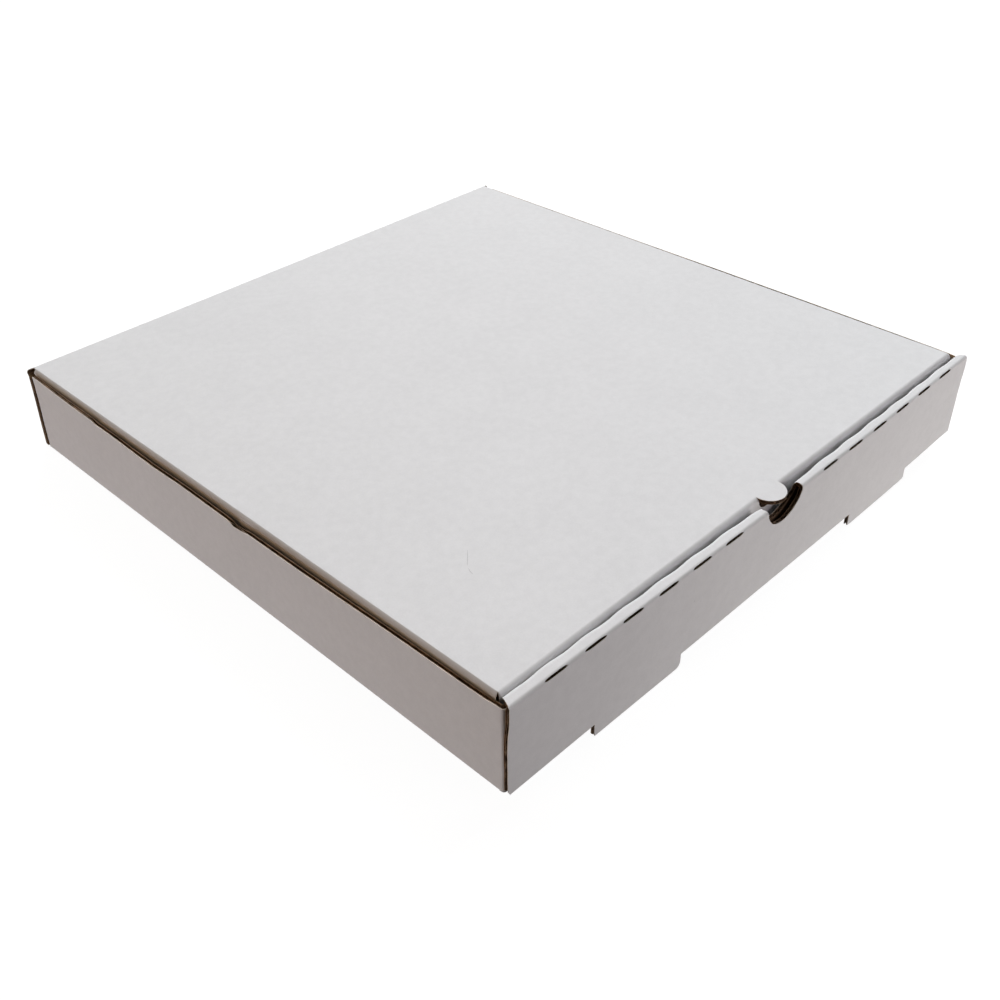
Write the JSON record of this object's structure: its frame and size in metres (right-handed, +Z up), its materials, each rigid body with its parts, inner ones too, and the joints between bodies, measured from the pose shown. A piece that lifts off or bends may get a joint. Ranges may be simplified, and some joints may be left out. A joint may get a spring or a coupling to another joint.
{
  "type": "pizza box",
  "caption": "Shallow square folding box of white corrugated board with a hinged lid, tucked flaps, a rolled front wall with a thumb notch, and low feet along its front edge.",
  "frame": {"origin": "centre of the bounding box's underside, level with the undersides of the feet", "axes": "+X along the front wall to the right as seen from the front, +Y from the front wall to the lid's hinge, +Z up through the lid"},
  "size_m": [0.305, 0.309, 0.0472],
  "materials": {
    "tray_board": "white-faced corrugated board, matt, brown inside and at the cut edges",
    "lid_board": "white-faced corrugated board, matt, brown inside and at the cut edges"
  },
  "bodies": {
    "tray": {"tray": "tray_board"},
    "lid": {"lid": "lid_board"}
  },
  "joints": [
    {"name": "lid_hinge", "type": "hinge", "parent": "tray", "child": "lid", "pos_m": [0, 0.1545, 0.0472], "axis": [-1, 0, 0], "range_deg": [0, 180]}
  ]
}
